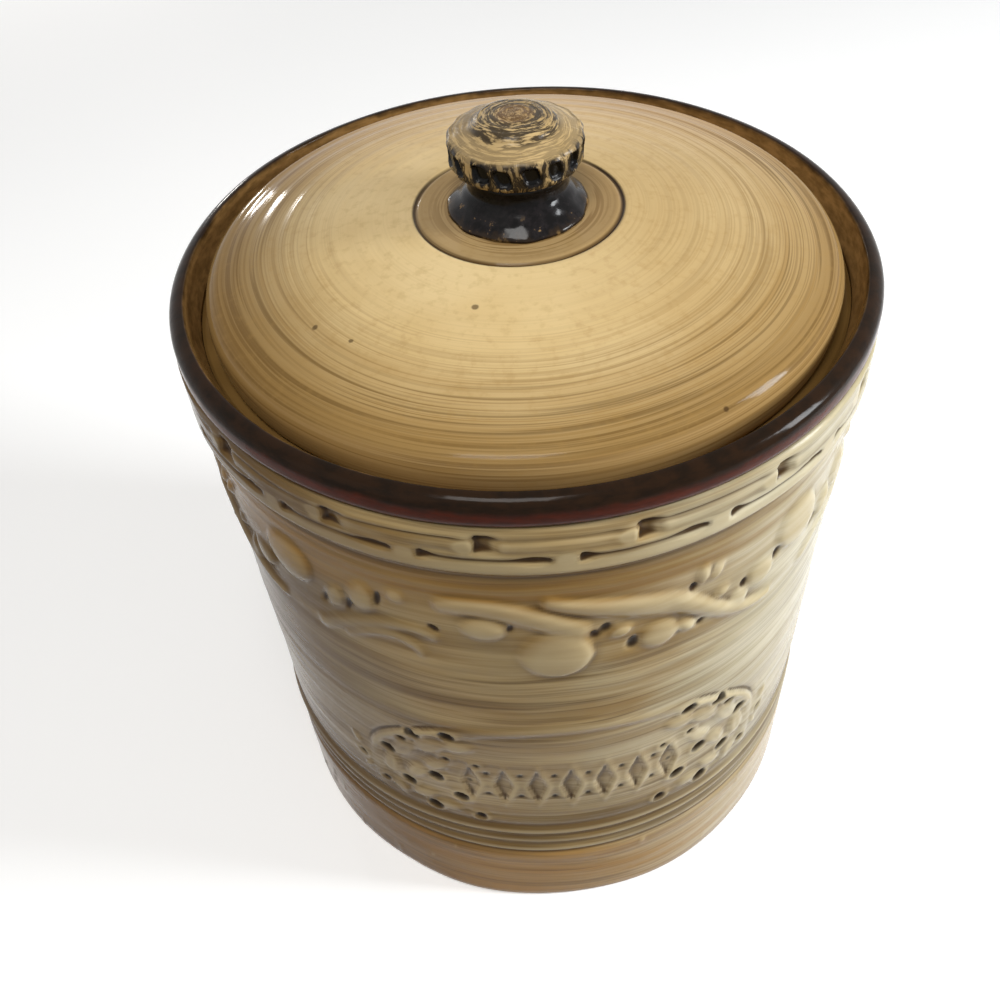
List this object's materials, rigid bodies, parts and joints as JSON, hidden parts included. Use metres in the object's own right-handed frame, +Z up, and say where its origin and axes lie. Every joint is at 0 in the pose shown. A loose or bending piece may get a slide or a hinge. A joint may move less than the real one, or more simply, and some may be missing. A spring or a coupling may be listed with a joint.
{
  "type": "biscuit jar",
  "caption": "Round glazed stoneware biscuit jar with a rolled lip, a sunk domed lid with a mushroom knob, and raised scroll, berry and panel ornament.",
  "frame": {"origin": "middle of the jar's foot, on the table", "axes": "+Z up along the jar's axis; the decorated panel faces -Y"},
  "size_m": [0.2072, 0.2072, 0.2613],
  "materials": {
    "wall_glaze": "gloss",
    "ornament_glaze": "gloss",
    "lip_glaze": "gloss",
    "lid_glaze": "gloss",
    "stem_glaze": "gloss",
    "cap_glaze": "gloss"
  },
  "bodies": {
    "jar": {"jar_body": "wall_glaze", "rim_lip": "lip_glaze", "scroll_frieze": "ornament_glaze", "berry_sprigs": "ornament_glaze", "panel_frame": "ornament_glaze", "panel_leaves": "ornament_glaze"},
    "lid": {"lid_dome": "lid_glaze", "knob_stem": "stem_glaze", "knob_cap": "cap_glaze"}
  },
  "joints": [
    {"name": "lid_lift", "type": "slide", "parent": "jar", "child": "lid", "axis": [0, 0, 1], "range_m": [0, 0.12]}
  ]
}
